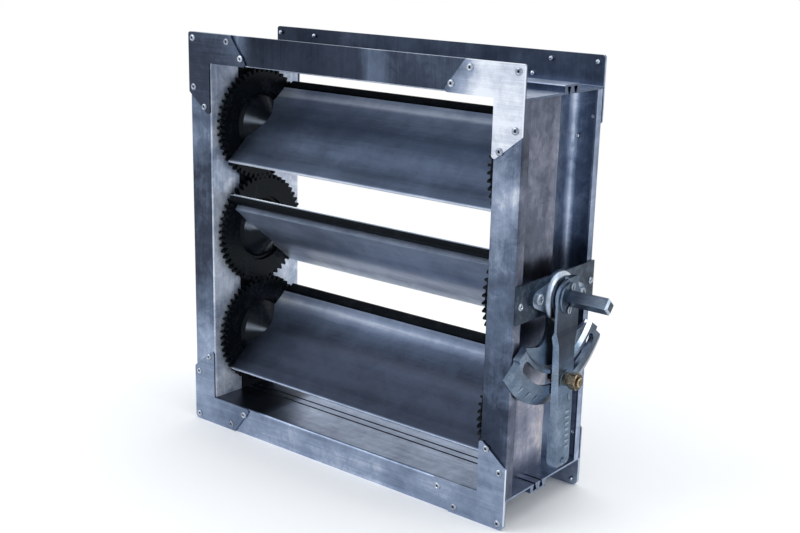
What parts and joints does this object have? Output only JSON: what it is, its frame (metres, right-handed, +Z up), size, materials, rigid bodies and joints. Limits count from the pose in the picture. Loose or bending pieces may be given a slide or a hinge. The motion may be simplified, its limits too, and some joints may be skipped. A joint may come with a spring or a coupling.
{
  "type": "fresh air control damper",
  "caption": "Square duct volume damper: flanged aluminium frame, opposed aerofoil blades coupled by plastic gears, locking lever on a slotted quadrant.",
  "frame": {"origin": "centre of the duct opening, on the axis of the middle blade", "axes": "+X along the blades towards the lever, +Y downstream, +Z up"},
  "size_m": [0.4105, 0.144, 0.37],
  "materials": {
    "frame_aluminium": "bright rolled aluminium with a bluish sheen and handling marks",
    "plate_aluminium": "bright aluminium sheet, stamped",
    "blade_aluminium": "mill-finish extruded aluminium",
    "rivet_metal": "bright blind rivets",
    "black_plastic": "moulded black plastic, satin",
    "seal_rubber": "black sealing profile",
    "shaft_steel": "zinc-plated square bar",
    "galvanised_strip": "dark galvanised strip",
    "zinc_casting": null,
    "screw_steel": "zinc-plated screws",
    "yellow_plated_steel": "yellow-passivated zinc plating"
  },
  "bodies": {
    "frame": {"bearing_strip_left": "black_plastic", "bearing_strip_right": "black_plastic", "corner_plate_front_bottom_left": "plate_aluminium", "corner_plate_front_bottom_right": "plate_aluminium", "corner_plate_front_top_left": "plate_aluminium", "corner_plate_front_top_right": "plate_aluminium", "corner_plate_rear_bottom_left": "plate_aluminium", "corner_plate_rear_bottom_right": "plate_aluminium", "corner_plate_rear_top_left": "plate_aluminium", "corner_plate_rear_top_right": "plate_aluminium", "frame_bottom": "frame_aluminium", "frame_left": "frame_aluminium", "frame_right": "frame_aluminium", "frame_top": "frame_aluminium", "locking_quadrant": "zinc_casting", "mounting_strip": "galvanised_strip", "mounting_strip_rivets": "rivet_metal", "quadrant_screws": "screw_steel", "rivets_front": "rivet_metal", "rivets_rear": "rivet_metal"},
    "top_blade": {"blade_seal_top": "seal_rubber", "blade_top": "blade_aluminium", "gear_top_left": "black_plastic", "gear_top_right": "black_plastic"},
    "middle_blade": {"blade_middle": "blade_aluminium", "blade_seal_middle": "seal_rubber", "drive_shaft": "shaft_steel", "gear_middle_left": "black_plastic", "gear_middle_right": "black_plastic", "lever": "zinc_casting", "lever_clamp_screw": "screw_steel", "lock_bolt": "yellow_plated_steel", "lock_collar": "yellow_plated_steel", "lock_nut": "yellow_plated_steel"},
    "bottom_blade": {"blade_bottom": "blade_aluminium", "blade_seal_bottom": "seal_rubber", "gear_bottom_left": "black_plastic", "gear_bottom_right": "black_plastic"}
  },
  "joints": [
    {"name": "middle_blade_turn", "type": "hinge", "parent": "frame", "child": "middle_blade", "pos_m": [0, 0, 0], "axis": [1, 0, 0], "range_deg": [-46, 40]},
    {"name": "top_blade_turn", "type": "hinge", "parent": "frame", "child": "top_blade", "pos_m": [0, 0, 0.1], "axis": [1, 0, 0], "range_deg": [-40, 46]},
    {"name": "bottom_blade_turn", "type": "hinge", "parent": "frame", "child": "bottom_blade", "pos_m": [0, 0, -0.1], "axis": [1, 0, 0], "range_deg": [-40, 46]}
  ],
  "couplings": [
    {"joint": "top_blade_turn", "follows": "middle_blade_turn", "ratio": -1},
    {"joint": "bottom_blade_turn", "follows": "middle_blade_turn", "ratio": -1}
  ]
}
